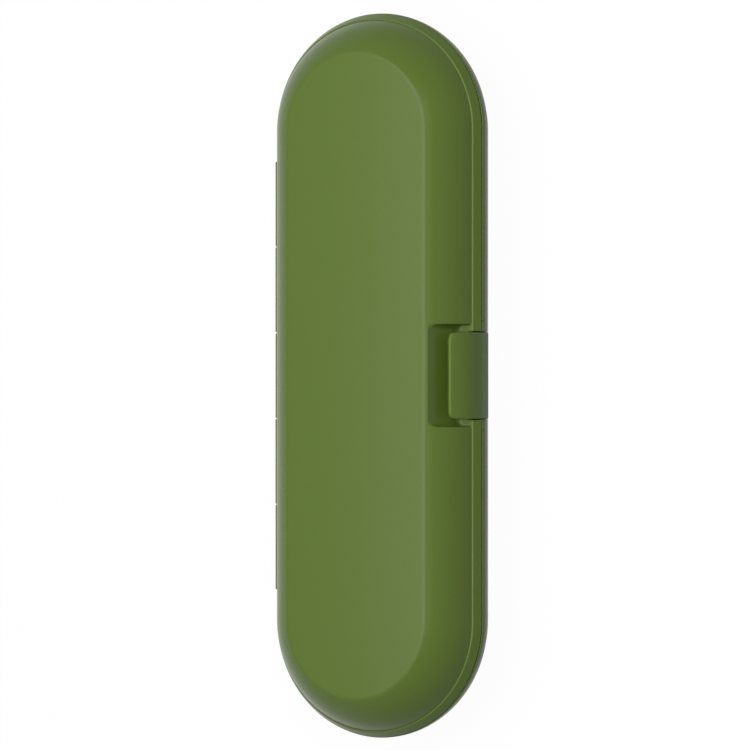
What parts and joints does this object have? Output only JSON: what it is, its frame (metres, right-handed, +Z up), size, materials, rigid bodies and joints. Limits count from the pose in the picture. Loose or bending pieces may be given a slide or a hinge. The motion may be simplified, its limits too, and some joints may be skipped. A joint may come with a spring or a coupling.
{
  "type": "electric toothbrush travel case",
  "caption": "Long hard case with rounded ends, a side-hinged lid, a flip latch in a finger recess, and a tray for a brush handle and spare heads.",
  "frame": {"origin": "centre of the case's flat back, on the surface that it lies on", "axes": "+X along the case, +Y towards the hinge, -Y towards the latch, +Z up through the lid"},
  "size_m": [0.21, 0.0702, 0.0395],
  "materials": {
    "olive_shell": "fine satin moulded plastic, olive green",
    "tray_plastic": "fine matte moulded plastic, darker olive green",
    "soft_rubber": "soft matte rubber, dark grey",
    "pin_steel": "blackened steel wire"
  },
  "bodies": {
    "base": {"base_shell": "olive_shell", "base_tray": "tray_plastic", "saddle_upper": "soft_rubber", "saddle_lower": "soft_rubber", "head_collar_upper": "soft_rubber", "head_collar_lower": "soft_rubber", "hinge_pin": "pin_steel", "latch_pin": "pin_steel"},
    "lid": {"lid_shell": "olive_shell", "lid_pad_upper": "soft_rubber", "lid_pad_lower": "soft_rubber"},
    "latch": {"latch": "olive_shell"}
  },
  "joints": [
    {"name": "lid_hinge", "type": "hinge", "parent": "base", "child": "lid", "pos_m": [0, 0.034, 0.0208], "axis": [-1, 0, 0], "range_deg": [0, 180]},
    {"name": "latch_hinge", "type": "hinge", "parent": "base", "child": "latch", "pos_m": [0, -0.0317, 0.021], "axis": [1, 0, 0], "range_deg": [0, 70]}
  ]
}
